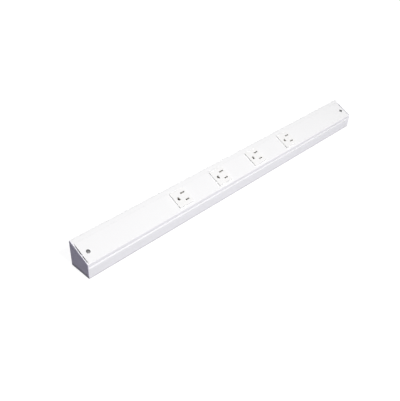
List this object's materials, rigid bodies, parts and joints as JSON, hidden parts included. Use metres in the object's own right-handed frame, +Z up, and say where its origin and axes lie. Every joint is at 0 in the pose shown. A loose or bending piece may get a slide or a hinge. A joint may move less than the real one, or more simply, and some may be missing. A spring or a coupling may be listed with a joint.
{
  "type": "angle power strip",
  "caption": "Wedge-shaped under-cabinet power strip with grounded outlets on its sloped face, flat base and rear wall, end caps and a screwed face plate.",
  "frame": {"origin": "middle of the flat base, under the centre of the strip", "axes": "+X along the strip towards its right end, +Y from the low front wall to the tall rear wall, +Z up from the base"},
  "size_m": [0.6096, 0.0382, 0.042],
  "materials": {
    "white_enamel": "satin",
    "cap_plastic": "matte",
    "outlet_plastic": "semi-gloss",
    "body_plastic": "matte",
    "steel": "satin",
    "green_steel": "satin",
    "brass": "polished",
    "black_insulation": "satin",
    "white_insulation": "satin",
    "green_insulation": "satin"
  },
  "bodies": {
    "root": {"cover_screw_left": "steel", "cover_screw_right": "steel", "end_cap_left": "cap_plastic", "end_cap_right": "cap_plastic", "face_plate": "white_enamel", "ground_contact_1": "brass", "ground_contact_2": "brass", "ground_contact_3": "brass", "ground_contact_4": "brass", "ground_screw": "green_steel", "ground_terminal": "brass", "ground_wire": "green_insulation", "hot_contact_1": "brass", "hot_contact_2": "brass", "hot_contact_3": "brass", "hot_contact_4": "brass", "hot_wire": "black_insulation", "housing": "white_enamel", "neutral_contact_1": "brass", "neutral_contact_2": "brass", "neutral_contact_3": "brass", "neutral_contact_4": "brass", "neutral_wire": "white_insulation", "outlet_body_1": "body_plastic", "outlet_body_2": "body_plastic", "outlet_body_3": "body_plastic", "outlet_body_4": "body_plastic", "outlet_face_1": "outlet_plastic", "outlet_face_2": "outlet_plastic", "outlet_face_3": "outlet_plastic", "outlet_face_4": "outlet_plastic"}
  },
  "joints": []
}
